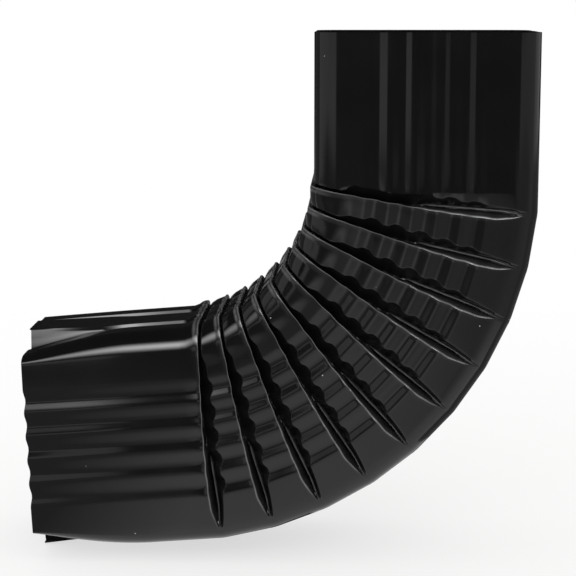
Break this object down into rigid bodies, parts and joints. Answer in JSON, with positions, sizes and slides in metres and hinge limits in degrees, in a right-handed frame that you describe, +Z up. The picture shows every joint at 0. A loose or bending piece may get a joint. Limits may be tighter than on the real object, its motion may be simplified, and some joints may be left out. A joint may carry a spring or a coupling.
{
  "type": "downspout elbow",
  "caption": "Corrugated rectangular downspout elbow in black painted sheet: a plain upright inlet, a pleated bend of nearly a right angle and a straight outlet with a crimped end.",
  "frame": {"origin": "centre of the open inlet mouth, in the plane of its cut edge", "axes": "+Z up, out of the inlet along its axis; the bend turns in the XZ plane and the outlet points to -X, a little downwards; Y runs across the elbow"},
  "size_m": [0.2519, 0.085, 0.2611],
  "materials": {
    "black_enamel": "semi-gloss black baked enamel on thin aluminium sheet"
  },
  "bodies": {
    "root": {"elbow_shell": "black_enamel"}
  },
  "joints": []
}
